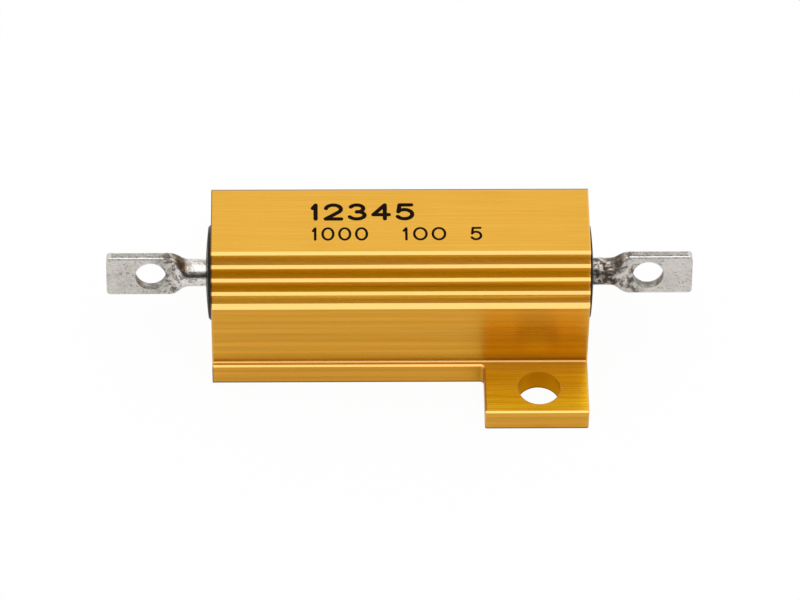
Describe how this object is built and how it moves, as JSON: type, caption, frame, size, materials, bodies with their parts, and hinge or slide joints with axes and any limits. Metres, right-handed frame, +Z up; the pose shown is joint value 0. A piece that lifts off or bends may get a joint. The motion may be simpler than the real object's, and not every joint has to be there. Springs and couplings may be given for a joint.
{
  "type": "aluminium housed power resistor",
  "caption": "Power resistor in a finned gold anodised aluminium housing with diagonal mounting lugs and pierced flat terminals at its ends.",
  "frame": {"origin": "middle of the underside, on the surface that the part stands on", "axes": "+X along the bore and the terminals, +Z up, -Y towards the side of the right hand lug"},
  "size_m": [0.03, 0.0142, 0.008],
  "materials": {
    "gold_anodised": "brushed, gold anodised",
    "dark_moulding": "moulded, slight sheen",
    "white_ceramic": "fired ceramic",
    "resistance_wire": "drawn wire",
    "plated_steel": "plated",
    "tinned_terminal": "tinned, stained with flux near the neck"
  },
  "bodies": {
    "root": {"housing": "gold_anodised", "moulding": "dark_moulding", "ceramic_core": "white_ceramic", "resistance_winding": "resistance_wire", "end_cap_left": "plated_steel", "end_cap_right": "plated_steel", "terminal_left": "tinned_terminal", "terminal_right": "tinned_terminal"}
  },
  "joints": []
}
